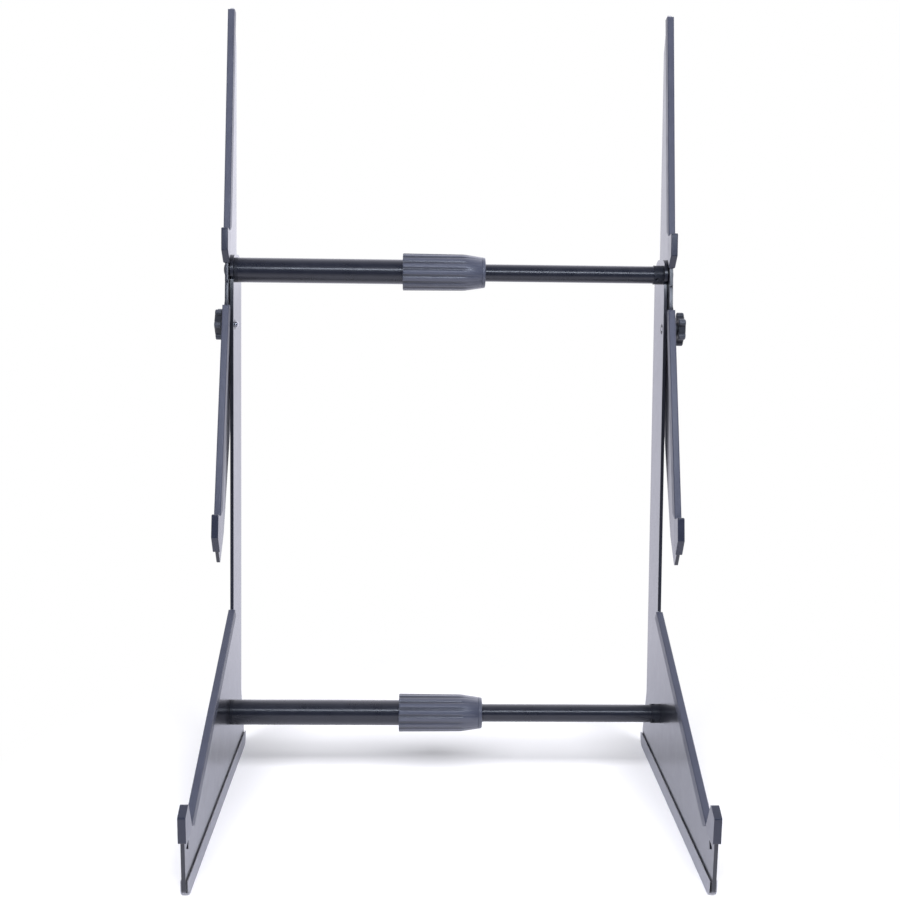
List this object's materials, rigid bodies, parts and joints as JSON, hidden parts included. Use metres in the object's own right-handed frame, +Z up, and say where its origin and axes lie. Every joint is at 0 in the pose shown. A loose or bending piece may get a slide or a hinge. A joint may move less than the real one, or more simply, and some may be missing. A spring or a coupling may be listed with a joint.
{
  "type": "desktop studio stand",
  "caption": "Tiered desktop stand for small keyboards: black sheet-metal sides with rubber-edged shelves, telescopic cross tubes with twist-lock collars and upper tiers that tilt.",
  "frame": {"origin": "Centre of the stand's bounding box in width and depth, at the height of the desk it stands on.", "axes": "+X to the stand's right as its user sees it, +Y to the back, +Z up."},
  "size_m": [0.4209, 0.324, 0.6815],
  "materials": {
    "powder_coat": "satin",
    "tube_coat": "gloss",
    "edge_rubber": "matte",
    "foot_rubber": "matte",
    "grip_plastic": "matte",
    "bush_plastic": "matte",
    "steel": "satin"
  },
  "bodies": {
    "left_frame": {"left_side_plate": "powder_coat", "left_foot_channel": "foot_rubber", "left_base_trim": "edge_rubber", "left_base_lip_cap": "edge_rubber", "upper_outer_tube": "tube_coat", "lower_outer_tube": "tube_coat", "left_tube_plugs": "bush_plastic", "tube_clutches": "bush_plastic", "left_pivot_bolt": "steel", "left_friction_washer": "bush_plastic", "left_pivot_washer": "steel", "left_lower_bolt": "steel", "left_lower_washer": "steel", "left_stud_nut": "steel"},
    "right_frame": {"right_side_plate": "powder_coat", "right_foot_channel": "foot_rubber", "right_base_trim": "edge_rubber", "right_base_lip_cap": "edge_rubber", "upper_inner_tube": "tube_coat", "lower_inner_tube": "tube_coat", "right_tube_plugs": "bush_plastic", "inner_tube_guides": "bush_plastic", "right_pivot_bolt": "steel", "right_friction_washer": "bush_plastic", "right_pivot_washer": "steel", "right_lower_bolt": "steel", "right_lower_washer": "steel", "right_stud_nut": "steel"},
    "upper_collar": {"upper_collar": "grip_plastic"},
    "lower_collar": {"lower_collar": "grip_plastic"},
    "left_tier_bracket": {"left_bracket_plate": "powder_coat", "left_middle_trim": "edge_rubber", "left_top_trim": "edge_rubber", "left_middle_lip_cap": "edge_rubber", "left_top_lip_cap": "edge_rubber"},
    "right_tier_bracket": {"right_bracket_plate": "powder_coat", "right_middle_trim": "edge_rubber", "right_top_trim": "edge_rubber", "right_middle_lip_cap": "edge_rubber", "right_top_lip_cap": "edge_rubber"},
    "left_clamp_knob": {"left_clamp_knob": "grip_plastic", "left_knob_stud": "steel", "left_knob_washer": "steel"},
    "right_clamp_knob": {"right_clamp_knob": "grip_plastic", "right_knob_stud": "steel", "right_knob_washer": "steel"}
  },
  "joints": [
    {"name": "width_slide", "type": "slide", "parent": "left_frame", "child": "right_frame", "axis": [1, 0, 0], "range_m": [-0.07, 0.055]},
    {"name": "upper_collar_twist", "type": "hinge", "parent": "left_frame", "child": "upper_collar", "pos_m": [0, 0.11181, 0.4495], "axis": [1, 0, 0], "range_deg": [-90, 90]},
    {"name": "lower_collar_twist", "type": "hinge", "parent": "left_frame", "child": "lower_collar", "pos_m": [0, 0.04347, 0.06], "axis": [1, 0, 0], "range_deg": [-90, 90]},
    {"name": "left_tier_tilt", "type": "hinge", "parent": "left_frame", "child": "left_tier_bracket", "pos_m": [-0.197, 0.11181, 0.4495], "axis": [-1, 0, 0], "range_deg": [0, 24]},
    {"name": "right_tier_tilt", "type": "hinge", "parent": "right_frame", "child": "right_tier_bracket", "pos_m": [0.197, 0.11181, 0.4495], "axis": [-1, 0, 0], "range_deg": [0, 24]},
    {"name": "left_knob_turn", "type": "hinge", "parent": "left_frame", "child": "left_clamp_knob", "pos_m": [-0.205, 0.10279, 0.40134], "axis": [-1, 0, 0], "range_deg": [0, 180]},
    {"name": "right_knob_turn", "type": "hinge", "parent": "right_frame", "child": "right_clamp_knob", "pos_m": [0.208, 0.10279, 0.40134], "axis": [1, 0, 0], "range_deg": [0, 180]}
  ]
}
